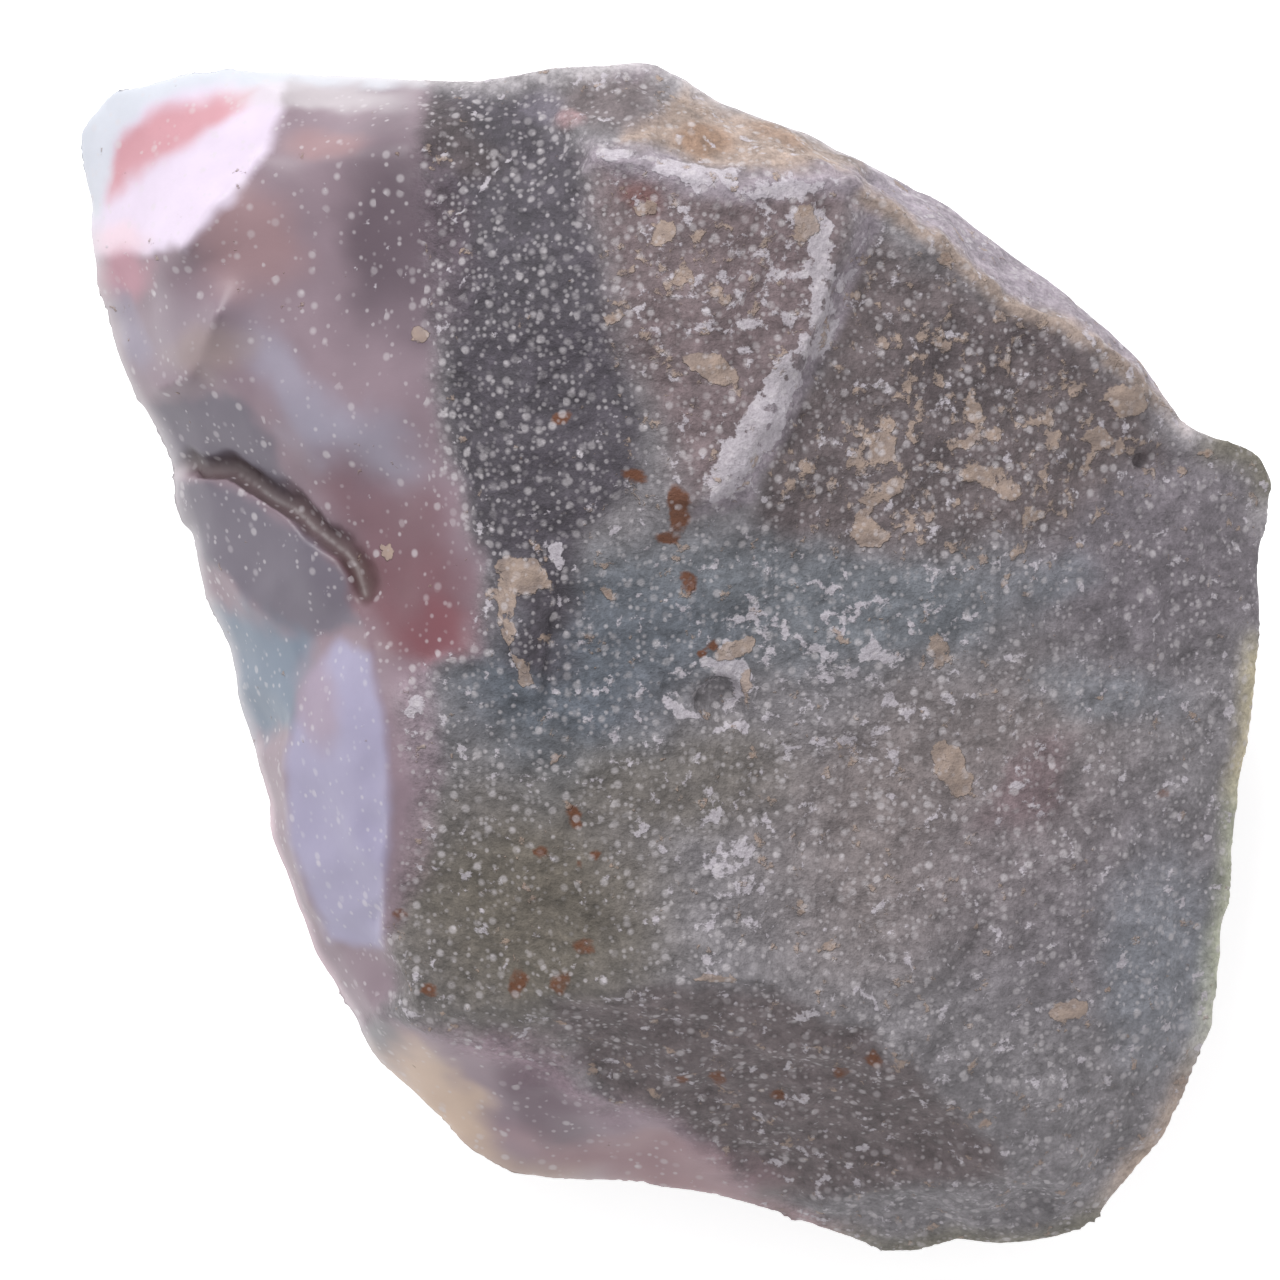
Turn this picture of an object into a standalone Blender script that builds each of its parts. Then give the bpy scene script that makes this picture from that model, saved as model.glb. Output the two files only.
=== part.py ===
"""Bloodstone: one rough piece of stone, lying on its back with its broad broken face up.

The stone is built as a skin in two halves, the upper side and the underside, which share one
rim: the line where the stone turns over, seen from above. Each half is a net of triangles laid
out flat inside the rim, with an edge along every ridge, ledge and bevel of the stone. The ridges
are lifted to their heights, and the facets between them settle like a soap film stretched over
a wire frame. Hollows, swells, chips and lumps are pressed into that skin afterwards.

All points below are in millimetres on the stone: x to the right, y away, z up from the flat spot
that it rests on.
"""
import math
import random

import bmesh
import bpy
from mathutils import Vector, kdtree, noise
from mathutils.geometry import delaunay_2d_cdt

MM = 0.001

# Real size of the stone, in millimetres.
WIDTH = 40.4
DEPTH = 40.4
HEIGHT = 19.0

# The net: size of its triangles, how uneven they are, and how close they come to a ridge.
MESH_STEP = 0.87
UNEVEN = 0.16
NEAREST_TO_A_LINE = 0.62
FILM_SEED = 7
INSIDE_ONLY = 1
CDT_EPSILON = 0.0001
RIM_WELD = 0.001

# The steep sides get edges no longer than this, split in a few rounds.
LONGEST_EDGE = 1.7
SPLIT_ROUNDS = 3

# How long the film settles, how far it moves at a time, and how long the soft edges settle with
# it at the end.
SETTLING_STEPS = 1500
SETTLING_SHARE = 0.8
SOFTENING_STEPS = 14

# Roughness of the broken faces: (grain size, height) of each layer of bumps, in millimetres.
ROUGHNESS = ((8.0, 0.45), (3.6, 0.26), (1.9, 0.14))
WAXY_SHARE = 0.35
RIM_SHARE = 0.45
RIM_FADE = 1.6
FLAT_FADE = 1.2

# The rim, anticlockwise from the right-hand corner.
RIM = (
    (20.2, 6.1, 10.0), (19.8, 4.1, 9.7), (19.7, 0.8, 9.2), (19.5, -0.8, 9.0), (19.1, -3.3, 8.6),
    (18.6, -6.6, 8.1), (18.7, -7.6, 7.9), (18.4, -9.0, 7.6), (18.3, -12.3, 6.9),
    (17.4, -14.4, 6.4), (16.6, -16.2, 6.0), (15.6, -17.5, 5.6), (14.3, -18.8, 5.2),
    (13.9, -19.3, 5.0), (12.3, -19.7, 4.6), (10.7, -19.9, 4.3), (9.6, -19.7, 4.4),
    (8.2, -20.2, 4.0), (7.0, -20.2, 4.0), (5.5, -19.5, 4.3), (3.7, -18.9, 4.6),
    (1.3, -18.2, 5.0), (-1.2, -17.8, 5.3), (-4.3, -17.6, 5.6), (-5.6, -17.4, 5.7),
    (-6.7, -16.8, 5.8), (-7.6, -16.1, 6.0), (-8.1, -15.4, 6.2), (-9.0, -14.4, 6.3),
    (-10.2, -13.3, 6.5), (-11.3, -11.2, 6.8), (-12.1, -10.0, 7.0), (-13.2, -7.0, 7.0),
    (-13.8, -5.8, 7.1), (-13.8, -4.7, 7.0), (-14.9, -1.2, 7.0), (-15.0, 0.6, 7.3),
    (-16.0, 2.5, 7.8), (-16.2, 4.2, 8.2), (-16.7, 4.5, 8.5), (-16.9, 5.3, 8.7),
    (-16.9, 6.4, 8.6), (-17.6, 7.9, 8.6), (-18.2, 9.0, 8.7), (-18.7, 10.0, 8.8),
    (-19.7, 12.6, 9.2), (-19.7, 13.4, 9.5), (-19.9, 14.3, 9.3), (-19.7, 15.1, 9.2), (-20.1, 16.4, 9.0),
    (-20.2, 17.8, 9.0), (-19.6, 18.6, 9.4), (-18.8, 19.3, 10.0), (-17.5, 19.6, 10.5),
    (-16.2, 19.9, 11.0), (-15.0, 19.9, 11.0), (-11.8, 19.7, 11.5), (-8.4, 19.5, 13.0),
    (-7.0, 19.5, 13.8), (-5.6, 19.7, 14.4), (-4.2, 20.0, 14.8), (-2.4, 20.0, 14.8),
    (-0.9, 20.2, 14.4), (0.0, 19.7, 14.4), (0.8, 19.2, 14.4), (1.5, 18.5, 14.4),
    (4.3, 17.7, 13.0), (7.1, 16.3, 12.2), (9.0, 15.3, 11.7), (10.4, 14.2, 11.4),
    (11.5, 13.4, 11.3), (14.0, 11.5, 11.4), (15.4, 10.4, 11.2), (16.0, 9.7, 11.2),
    (16.5, 8.8, 11.6), (16.9, 8.2, 12.0), (17.8, 7.8, 11.6), (18.8, 7.6, 11.0),
    (19.7, 7.2, 10.5),
)

# Ridges and edges of the upper side.
UPPER_EDGES = {
    # Back edge: a long ridge that falls to the notch in the right-hand rim, and the crest of
    # the raised block beside it.
    "back_ridge": (
        (6.2, 15.5, 17.2), (7.5, 14.7, 16.3), (8.8, 14.0, 16.0), (9.9, 13.0, 15.7),
        (10.8, 12.1, 15.4), (11.7, 11.7, 15.1), (12.9, 11.4, 14.7), (13.9, 10.8, 14.3),
        (14.5, 10.3, 13.9), (15.3, 9.7, 13.4), (15.9, 9.0, 12.8), (16.9, 8.2, 12.0)),
    "side_lip": (
        (1.5, 18.5, 14.4), (3.4, 17.7, 15.0), (4.2, 17.3, 15.4), (4.8, 16.7, 15.9),
        (5.9, 16.1, 16.6), (6.2, 15.5, 17.2)),
    "crest": (
        (-2.7, 16.7, 18.6), (-0.6, 16.3, 18.9), (0.6, 15.9, 19.0), (2.2, 15.6, 18.7),
        (4.1, 15.9, 18.2), (5.9, 16.0, 17.5), (6.2, 15.5, 17.2)),
    # The raised block ends in a bevel that steps down to the broad face.
    "block_edge": (
        (6.2, 15.5, 17.2), (5.9, 14.7, 17.5), (5.6, 13.7, 17.7), (5.1, 12.6, 17.8),
        (5.0, 11.8, 17.9), (4.6, 10.9, 18.0), (4.1, 10.0, 18.0), (3.5, 9.5, 18.0),
        (3.1, 8.7, 18.1), (3.0, 8.0, 18.1), (2.7, 7.5, 18.1), (2.3, 6.5, 18.1),
        (1.8, 6.0, 18.0), (1.2, 5.5, 18.0), (0.6, 5.2, 17.9), (0.2, 6.0, 18.1),
        (0.3, 6.7, 18.2)),
    "block_foot": (
        (6.4, 14.5, 16.3), (6.3, 13.5, 16.4), (5.7, 12.5, 16.5), (5.5, 11.7, 16.6),
        (5.2, 10.7, 16.7), (4.8, 9.8, 16.8), (4.1, 9.4, 16.9), (3.8, 8.7, 17.0),
        (3.6, 7.9, 17.1), (3.3, 7.4, 17.1), (2.8, 6.4, 17.2), (2.4, 5.7, 17.3),
        (1.5, 5.2, 17.4), (0.7, 4.8, 17.5), (-0.1, 5.5, 17.8), (-0.2, 6.6, 18.0)),
    # Edge between the broad granular face and the waxy left side.
    "waxy_edge": (
        (-8.4, 19.5, 13.0), (-8.2, 17.2, 16.4), (-8.2, 15.5, 17.0), (-8.0, 12.1, 17.5),
        (-7.7, 8.8, 17.7), (-7.1, 7.2, 17.7), (-5.9, 3.9, 17.5), (-5.7, 2.2, 17.3),
        (-6.9, 0.2, 16.6), (-8.5, -1.2, 15.9), (-9.6, -1.6, 15.2)),
    "lens_edge": (
        (-10.1, 0.6, 14.9), (-9.6, -1.6, 15.2), (-9.5, -3.9, 14.8), (-9.6, -6.0, 14.0),
        (-9.8, -7.7, 13.2), (-9.9, -9.0, 12.5), (-9.3, -9.9, 12.4), (-8.6, -11.6, 12.0)),
    "lens_far_edge": (
        (-12.5, 0.6, 12.0), (-12.9, -1.6, 11.2), (-13.1, -3.7, 10.5), (-12.9, -5.9, 9.8),
        (-12.3, -8.0, 9.3), (-11.2, -9.7, 9.0), (-10.0, -11.7, 9.6)),
    # Front edge of the broad face.
    "brow": (
        (-11.3, -11.2, 6.8), (-10.0, -11.7, 9.6), (-8.6, -11.6, 12.0), (-7.0, -11.6, 12.6),
        (-3.5, -10.9, 13.8), (0.8, -10.4, 14.6), (2.9, -10.5, 14.4), (4.5, -11.3, 13.9),
        (5.7, -11.9, 13.4), (7.0, -12.4, 12.7), (7.7, -13.3, 12.2), (9.3, -14.6, 11.0),
        (10.6, -15.8, 9.8), (11.0, -17.2, 8.2)),
    "shoulder": (
        (16.9, 8.2, 12.0), (17.3, 4.9, 12.4), (17.5, 1.5, 12.0), (17.2, -1.8, 11.6),
        (16.8, -5.2, 11.2), (16.6, -8.6, 10.6), (16.3, -11.4, 9.9), (15.5, -13.8, 9.1),
        (14.3, -15.8, 8.2), (13.6, -17.4, 7.0)),
    "front_ledge": (
        (3.7, -18.9, 4.6), (5.5, -18.0, 6.6), (8.6, -17.6, 7.3), (11.0, -17.2, 8.2),
        (12.7, -17.1, 7.9), (13.6, -17.4, 7.0), (14.3, -18.8, 5.2)),
    "front_ledge_foot": (
        (6.0, -18.5, 5.7), (8.6, -18.1, 6.0), (10.8, -17.9, 6.5), (12.8, -17.9, 6.3),
        (13.3, -18.2, 5.9)),
    "pink_edge": (
        (-8.0, -12.7, 10.8), (-5.9, -13.1, 10.6), (-2.6, -14.3, 9.6), (0.5, -16.2, 7.6),
        (2.2, -17.7, 6.0)),
    # The waxy scoop in the upper left and the streaked facet of the tip.
    "streak_ridge": (
        (-15.0, 19.9, 11.0), (-13.1, 18.9, 13.2), (-13.6, 17.3, 13.9), (-14.2, 16.2, 14.2),
        (-15.3, 15.2, 14.4), (-16.3, 13.8, 14.4)),
    "spur": ((-16.3, 13.8, 14.4), (-17.9, 13.8, 12.0), (-19.7, 13.4, 9.5)),
    "tip_edge": (
        (-15.0, 19.9, 11.0), (-16.1, 19.3, 11.6), (-17.7, 18.5, 11.0), (-18.8, 17.4, 10.4),
        (-18.9, 16.6, 10.2), (-19.1, 15.8, 10.0), (-19.7, 15.1, 9.2)),
    "scoop_brow": (
        (-13.1, 18.9, 13.2), (-12.6, 16.5, 14.8), (-11.5, 16.8, 15.2), (-9.2, 17.1, 16.2),
        (-8.2, 17.2, 16.4)),
    "scoop_edge": (
        (-16.3, 13.8, 14.4), (-15.2, 11.6, 14.6), (-13.6, 9.5, 14.5), (-12.4, 7.3, 14.6),
        (-10.7, 5.5, 15.0), (-8.5, 2.2, 15.9), (-6.9, 0.2, 16.6)),
    # Stepped scars down the left side: each has a lip and a foot.
    "scar_lip": (
        (-18.2, 9.0, 8.7), (-17.1, 9.2, 11.3), (-16.2, 9.5, 12.5), (-15.7, 10.1, 13.2),
        (-15.2, 11.6, 14.6)),
    "scar_foot": ((-17.5, 8.8, 9.8), (-16.5, 8.9, 11.0), (-15.6, 9.3, 12.2), (-14.5, 9.1, 13.3)),
    "shelf_lip": (
        (-16.9, 6.4, 8.6), (-15.8, 6.2, 10.8), (-14.9, 6.2, 11.4), (-14.0, 5.6, 12.1),
        (-12.9, 4.9, 12.9), (-12.3, 4.1, 13.3), (-11.1, 3.5, 13.9), (-10.7, 2.2, 14.1),
        (-10.1, 0.6, 14.9)),
    "shelf_foot": (
        (-16.3, 6.8, 9.6), (-15.7, 6.6, 10.2), (-14.8, 6.6, 10.8), (-13.8, 6.0, 11.5),
        (-12.7, 5.3, 12.3), (-12.0, 4.5, 12.8), (-10.9, 3.9, 13.5), (-10.2, 2.5, 14.1)),
    "low_lip": (
        (-16.2, 4.2, 8.2), (-15.6, 3.7, 9.8), (-14.6, 2.4, 10.5), (-14.3, 2.0, 10.7),
        (-12.5, 0.6, 12.0)),
    "low_foot": ((-15.6, 2.9, 8.7), (-15.0, 2.1, 9.1), (-14.0, 0.8, 9.9)),
}

# Edges of the upper side that are rounded over, so no line shows.
SOFT_EDGES = ("shoulder", "waxy_edge", "scoop_edge", "pink_edge")

# The flat spot, and the ridges of the underside, which run out from its corners to the rim.
FLAT_SPOT = (
    (-5.8, 6.4, 0.0), (1.2, 8.0, 0.0), (7.6, 4.2, 0.0), (8.2, -3.6, 0.0), (2.6, -8.2, 0.0),
    (-4.8, -5.6, 0.0), (-5.8, 6.4, 0.0),
)
UNDER_EDGES = {
    "flat_spot": FLAT_SPOT,
    "back_wall_foot": (
        (-15.8, 17.0, 6.6), (-11.4, 17.9, 5.6), (-5.0, 17.6, 5.0), (1.0, 16.8, 4.4),
        (6.0, 14.4, 3.8), (11.6, 11.0, 4.0), (16.0, 7.6, 5.2)),
    "right_wall_foot": (
        (16.0, 7.6, 5.2), (17.6, 3.6, 4.6), (17.0, -2.2, 3.2), (16.2, -8.0, 2.4),
        (15.0, -13.0, 2.4)),
    "keel_to_tip": (
        (-5.8, 6.4, 0.0), (-9.6, 8.8, 1.8), (-14.4, 12.0, 4.4), (-17.2, 14.6, 6.2),
        (-19.7, 15.1, 9.2)),
    "keel_to_left": (
        (-4.8, -5.6, 0.0), (-8.4, -7.6, 1.7), (-11.0, -8.4, 3.2), (-12.1, -10.0, 7.0)),
    "keel_to_front": (
        (2.6, -8.2, 0.0), (4.0, -12.4, 1.0), (6.4, -16.4, 2.0), (8.2, -20.2, 4.0)),
    "keel_to_right": (
        (8.2, -3.6, 0.0), (12.2, -8.8, 1.0), (15.0, -13.0, 2.4), (17.4, -14.4, 6.4)),
    "keel_to_notch": ((7.6, 4.2, 0.0), (11.4, 5.8, 1.6), (16.0, 7.6, 5.2), (16.9, 8.2, 12.0)),
    "keel_to_back": ((1.2, 8.0, 0.0), (1.6, 12.0, 1.4), (1.0, 16.8, 4.4), (1.5, 18.5, 14.4)),
    "step_lip": ((-15.4, 3.4, 5.6), (-12.8, 6.0, 3.6), (-10.2, 6.2, 2.3), (-8.2, 4.2, 1.2)),
    "step_foot": ((-14.8, 2.4, 6.2), (-12.4, 4.8, 4.6), (-10.2, 5.0, 3.2), (-8.8, 3.4, 2.2)),
}

# Waxy, smooth ground: (x, y, radius).
WAXY_GROUND = ((-13.0, 13.5, 7.5), (-15.0, 6.0, 5.0), (-12.5, -4.5, 4.5), (-16.5, 16.5, 6.0))

# Broad swells and hollows of the facets: (x, y, half length, half width, height).
SWELLS = {
    "scoop": (-11.8, 12.2, 5.2, 4.4, -0.9),
    "scoop_tail": (-9.0, 6.2, 3.4, 2.6, -0.4),
    "lens": (-11.3, -4.0, 1.9, 4.6, 0.5),
    "front_facet": (4.0, -15.0, 6.0, 3.0, -0.5),
    "pink_facet": (-5.4, -15.2, 4.0, 2.2, 0.4),
    "broad_face_right": (9.0, 2.0, 8.0, 9.0, 0.5),
    "broad_face_left": (-4.0, -5.0, 5.5, 6.0, 0.4),
    "faint_crest": (1.2, -6.0, 2.4, 5.5, 0.45),
    "block_top": (-2.0, 12.0, 5.0, 4.0, 0.3),
}

# Small marks with a mesh of their own: (x, y, half length, half width, height).
MARKS = {
    "ring_crater": (1.46, -1.18, 1.05, 1.05, -0.40),
    "faint_ring": (3.8, 3.05, 1.0, 0.9, -0.16),
    "crust_flake": (-5.1, 1.5, 0.8, 2.5, 0.42),
    "back_lump": (-3.5, 17.9, 0.9, 0.9, 0.50),
    "right_knob": (14.5, 8.9, 0.8, 0.8, 0.25),
    "right_pit": (15.1, 6.7, 0.7, 0.7, -0.35),
    "back_pit": (-1.25, 19.3, 1.1, 0.6, -0.45),
}
MARK_RINGS = ((0.4, 6), (0.75, 10), (1.05, 12))

BASE_COLOR = (0.17, 0.155, 0.15, 1.0)
STONE_ROUGHNESS = 0.62


def clear_scene():
    for old in list(bpy.data.objects):
        bpy.data.objects.remove(old, do_unlink=True)


def along(line):
    """Points along a line of corners, about one mesh step apart."""
    points = []
    for start, end in zip(line, line[1:]):
        start, end = Vector(start), Vector(end)
        pieces = max(1, round((end - start).xy.length / MESH_STEP))
        points += [start.lerp(end, i / pieces) for i in range(pieces)]
    return points + [Vector(line[-1])]


def mark_points(x, y, half_length, half_width):
    """Net points for a small mark: its middle and the rings around it."""
    points = [Vector((x, y))]
    for share, count in MARK_RINGS:
        for i in range(count):
            angle = math.tau * i / count
            reach = Vector((half_length * math.cos(angle), half_width * math.sin(angle)))
            points.append(points[0] + reach * share)
    return points


def tree_of(points):
    """Search tree that finds the nearest of some points in plan."""
    tree = kdtree.KDTree(len(points))
    for i, point in enumerate(points):
        tree.insert((point[0], point[1], 0.0), i)
    tree.balance()
    return tree


def loose_points(taken):
    """Points that fill the rim's box in offset rows, a little uneven, clear of the taken ones."""
    tree = tree_of(taken)
    draw = random.Random(FILM_SEED)
    reach_x = max(abs(x) for x, _, _ in RIM)
    reach_y = max(abs(y) for _, y, _ in RIM)
    row_gap = MESH_STEP * math.sqrt(3.0) / 2.0
    points = []
    for row in range(-math.ceil(reach_y / row_gap), math.ceil(reach_y / row_gap) + 1):
        for column in range(-math.ceil(reach_x / MESH_STEP), math.ceil(reach_x / MESH_STEP) + 1):
            x = (column + 0.5 * (row % 2) + draw.uniform(-UNEVEN, UNEVEN)) * MESH_STEP
            y = row * row_gap + draw.uniform(-UNEVEN, UNEVEN) * MESH_STEP
            if tree.find((x, y, 0.0))[2] > NEAREST_TO_A_LINE * MESH_STEP:
                points.append(Vector((x, y)))
    return points


def film(mesh, edges, marks):
    """Add one half of the skin: ridges at their heights, facets settled between them."""
    fixed = []
    links = []
    soft = set()
    for name, line in {"rim": RIM + RIM[:1], **edges}.items():
        points = range(len(fixed), len(fixed) + len(along(line)))
        fixed += along(line)
        links += zip(points, points[1:])
        soft.update(points[1:-1] if name in SOFT_EDGES else ())
    rim = list(range(len(along(RIM + RIM[:1])) - 1))
    spots = [point for mark in marks for point in mark_points(*mark[:4])]
    plan = [point.xy for point in fixed] + spots
    plan += loose_points(plan)
    plan, _, faces, sources, _, _ = delaunay_2d_cdt(plan, links, [rim], INSIDE_ONLY, CDT_EPSILON)

    tree = tree_of(fixed)
    verts = {}
    free = []
    softened = []
    for i in sorted({corner for face in faces for corner in face}):
        held = [source for source in sources[i] if source < len(fixed)]
        nearest = held[0] if held else tree.find((plan[i].x, plan[i].y, 0.0))[1]
        verts[i] = mesh.verts.new((plan[i].x, plan[i].y, fixed[nearest].z))
        if not held:
            free.append(verts[i])
        elif soft.issuperset(held):
            softened.append(verts[i])
    for face in faces:
        mesh.faces.new([verts[i] for i in face])
    for _ in range(SETTLING_STEPS):
        bmesh.ops.smooth_vert(mesh, verts=free, factor=SETTLING_SHARE, use_axis_z=True)
    for _ in range(SOFTENING_STEPS):
        bmesh.ops.smooth_vert(mesh, verts=free + softened, factor=SETTLING_SHARE, use_axis_z=True)
    return list(verts.values())


def rim_fade(tree, place):
    """How free a place is to move, from 0 on the rim to 1 a little way in."""
    return min(1.0, tree.find((place.x, place.y, 0.0))[2] / RIM_FADE)


def press(verts, shapes):
    """Raise swells and lumps, and sink hollows and pits, with smooth round sides."""
    tree = tree_of(along(RIM + RIM[:1]))
    for x, y, half_length, half_width, height in shapes:
        for vert in verts:
            spread = ((vert.co.x - x) / half_length) ** 2 + ((vert.co.y - y) / half_width) ** 2
            if spread < 1.0:
                vert.co.z += height * (1.0 - spread) ** 2 * rim_fade(tree, vert.co)


def waxy(place):
    """How waxy and smooth the ground is, from 0 on the granular faces to 1."""
    return max(max(0.0, 1.0 - ((place.x - x) ** 2 + (place.y - y) ** 2) / radius ** 2)
               for x, y, radius in WAXY_GROUND)


def roughen(mesh):
    """Bumps of the broken surface, which fade out at the rim and at the flat spot."""
    tree = tree_of(along(RIM + RIM[:1]))
    mesh.normal_update()
    moves = []
    for vert in mesh.verts:
        fade = max(RIM_SHARE, rim_fade(tree, vert.co)) * min(1.0, vert.co.z / FLAT_FADE)
        bump = sum(height * noise.noise(vert.co / size) for size, height in ROUGHNESS)
        smoothing = 1.0 - (1.0 - WAXY_SHARE) * min(1.0, 2.0 * waxy(vert.co))
        moves.append(vert.normal * bump * fade * smoothing)
    for vert, move in zip(mesh.verts, moves):
        vert.co += move


def split_long_edges(mesh):
    """Give the steep sides, which the net crosses in long slivers, triangles of their own."""
    for _ in range(SPLIT_ROUNDS):
        long = [edge for edge in mesh.edges if edge.calc_length() > LONGEST_EDGE]
        bmesh.ops.subdivide_edges(mesh, edges=long, cuts=1)
        bmesh.ops.triangulate(mesh, faces=[face for face in mesh.faces if len(face.verts) > 3])


def fit_to_size(mesh):
    """Bring the stone to its real size, in metres, over the middle of its box."""
    low = Vector(min(vert.co[axis] for vert in mesh.verts) for axis in range(3))
    high = Vector(max(vert.co[axis] for vert in mesh.verts) for axis in range(3))
    size = high - low
    middle = (low + high) / 2.0
    bmesh.ops.translate(mesh, verts=mesh.verts, vec=(-middle.x, -middle.y, -low.z))
    factors = (WIDTH / size.x * MM, DEPTH / size.y * MM, HEIGHT / size.z * MM)
    bmesh.ops.scale(mesh, verts=mesh.verts, vec=factors)


def stone_mesh():
    """The whole stone as one closed skin."""
    mesh = bmesh.new()
    upper = film(mesh, UPPER_EDGES, MARKS.values())
    press(upper, SWELLS.values())
    press(upper, MARKS.values())
    film(mesh, UNDER_EDGES, ())
    bmesh.ops.remove_doubles(mesh, verts=mesh.verts, dist=RIM_WELD)
    bmesh.ops.recalc_face_normals(mesh, faces=mesh.faces)
    split_long_edges(mesh)
    roughen(mesh)
    flat = [face for face in mesh.faces if all(vert.co.z < RIM_WELD for vert in face.verts)]
    bmesh.ops.dissolve_faces(mesh, faces=flat, use_verts=False)
    fit_to_size(mesh)
    return mesh


def stone_material():
    material = bpy.data.materials.new("rough_bloodstone")
    material.use_nodes = True
    shader = material.node_tree.nodes["Principled BSDF"]
    shader.inputs["Base Color"].default_value = BASE_COLOR
    shader.inputs["Roughness"].default_value = STONE_ROUGHNESS
    shader.inputs["Metallic"].default_value = 0.0
    return material


def build_stone():
    skin = stone_mesh()
    data = bpy.data.meshes.new("bloodstone")
    skin.to_mesh(data)
    skin.free()
    data.materials.append(stone_material())
    stone = bpy.data.objects.new("bloodstone", data)
    bpy.context.scene.collection.objects.link(stone)
    return stone


clear_scene()
build_stone()
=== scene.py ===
# %% [markdown]
# # A rough bloodstone
#
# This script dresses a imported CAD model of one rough, unpolished bloodstone. Bloodstone is a
# chalcedony: quartz in crystals too small to see, coloured by other minerals that grew with it.
# Its broken faces are of two kinds. Some are granular, like very fine sandstone, and others are
# waxy and slightly see-through, like candle wax or horn. Both are on this piece.
#
# The CAD model has the stone's facets, ridges and ledges. The lesson takes a copy of it, makes
# the net finer, presses the small relief into it, paints the minerals on it and lights it.

import math

import bmesh
import bpy
import numpy as np
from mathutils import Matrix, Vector, kdtree, noise


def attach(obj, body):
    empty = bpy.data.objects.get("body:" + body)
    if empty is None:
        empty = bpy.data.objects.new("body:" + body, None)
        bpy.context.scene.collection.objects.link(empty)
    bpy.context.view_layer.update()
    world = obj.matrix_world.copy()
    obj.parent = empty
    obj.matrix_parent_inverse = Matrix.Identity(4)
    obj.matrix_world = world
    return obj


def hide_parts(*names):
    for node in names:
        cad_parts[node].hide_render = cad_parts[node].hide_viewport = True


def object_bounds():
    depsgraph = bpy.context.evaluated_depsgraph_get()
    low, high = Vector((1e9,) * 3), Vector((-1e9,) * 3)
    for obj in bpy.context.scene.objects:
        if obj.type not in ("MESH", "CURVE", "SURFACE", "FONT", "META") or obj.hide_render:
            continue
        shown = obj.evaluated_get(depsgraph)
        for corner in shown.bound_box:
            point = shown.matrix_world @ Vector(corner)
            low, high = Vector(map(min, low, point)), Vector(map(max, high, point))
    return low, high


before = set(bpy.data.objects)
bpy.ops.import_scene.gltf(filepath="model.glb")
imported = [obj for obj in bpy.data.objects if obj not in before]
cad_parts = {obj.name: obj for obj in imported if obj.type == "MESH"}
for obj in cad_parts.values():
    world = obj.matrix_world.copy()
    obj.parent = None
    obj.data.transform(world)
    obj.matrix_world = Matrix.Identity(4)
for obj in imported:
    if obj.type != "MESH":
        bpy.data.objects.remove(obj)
cad_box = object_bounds()
print("CAD nodes:", list(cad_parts))
print("CAD box in mm:", [[round(1000 * value, 2) for value in corner] for corner in cad_box])

# %% [markdown]
# ## Units
#
# The model is in metres, but a stone the size of a walnut is easier to think about in
# millimetres. Every length below is in millimetres, and this one number turns it into metres.

# %% Units
MM = 0.001

# %% [markdown]
# ## A finer skin
#
# The CAD node is a closed net with edges of about a millimetre. Its triangles are loose, so a
# copy is merged first. The copy is then refined where the eye will be: the broken upper side
# needs edges of a quarter of a millimetre, because its smallest ledges are that wide, while the
# underside does with longer ones. Splitting only the edges that are too long, round after
# round, and cutting what is left into triangles again, keeps the net even.

# %% Merge a copy of the CAD node
MERGE_DISTANCE = 1e-6

skin = bmesh.new()
skin.from_mesh(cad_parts["bloodstone"].data)
bmesh.ops.remove_doubles(skin, verts=skin.verts, dist=MERGE_DISTANCE)
print("merged copy:", len(skin.verts), "vertices,", len(skin.faces), "triangles")

# %% Refine it
UPPER_EDGE = 0.25 * MM
UNDER_EDGE = 0.56 * MM
FLAT_SPOT_EDGE = 3.0 * MM
FLAT_SPOT_TOP = 0.01 * MM
REFINE_ROUNDS = 5


def longest_allowed(edge):
    """How long an edge may stay: short on the upper side, longer below, longest on the flat spot."""
    start, end = edge.verts
    if start.co.z < FLAT_SPOT_TOP and end.co.z < FLAT_SPOT_TOP:
        return FLAT_SPOT_EDGE
    facing = start.normal.z + end.normal.z
    return UPPER_EDGE if facing > -0.1 else UNDER_EDGE


for refine_round in range(REFINE_ROUNDS):
    skin.normal_update()
    long = [edge for edge in skin.edges if edge.calc_length() > longest_allowed(edge)]
    bmesh.ops.subdivide_edges(skin, edges=long, cuts=1, use_grid_fill=True)
    wide = [face for face in skin.faces if len(face.verts) > 3]
    bmesh.ops.triangulate(skin, faces=wide, quad_method="SHORT_EDGE")
    print("round", refine_round + 1, "split", len(long), "edges:", len(skin.faces), "triangles")

# %% [markdown]
# ## Measuring in plan
#
# Nearly everything on the upper side can be placed by looking straight down on it: a ledge is a
# line in plan, a patch is an outline or an oval. These helpers take the places of all vertices
# at once, as arrays in millimetres, and say how near each is to such a line or outline. Arrays
# are used because a Python loop over every vertex for every mark would be slow.

# %% Helpers for lines, ovals and outlines
def ease(value):
    """0 below 0, 1 above 1, and a soft S between."""
    value = np.clip(value, 0.0, 1.0)
    return value * value * (3.0 - 2.0 * value)


def from_line(x, y, line):
    """Distance of each place from a line of corners, in plan."""
    nearest = np.full(x.shape, np.inf)
    for (x0, y0), (x1, y1) in zip(line, line[1:]):
        run_x, run_y = x1 - x0, y1 - y0
        share = ((x - x0) * run_x + (y - y0) * run_y) / (run_x ** 2 + run_y ** 2)
        share = np.clip(share, 0.0, 1.0)
        nearest = np.minimum(nearest, np.hypot(x - x0 - share * run_x, y - y0 - share * run_y))
    return nearest


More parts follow.
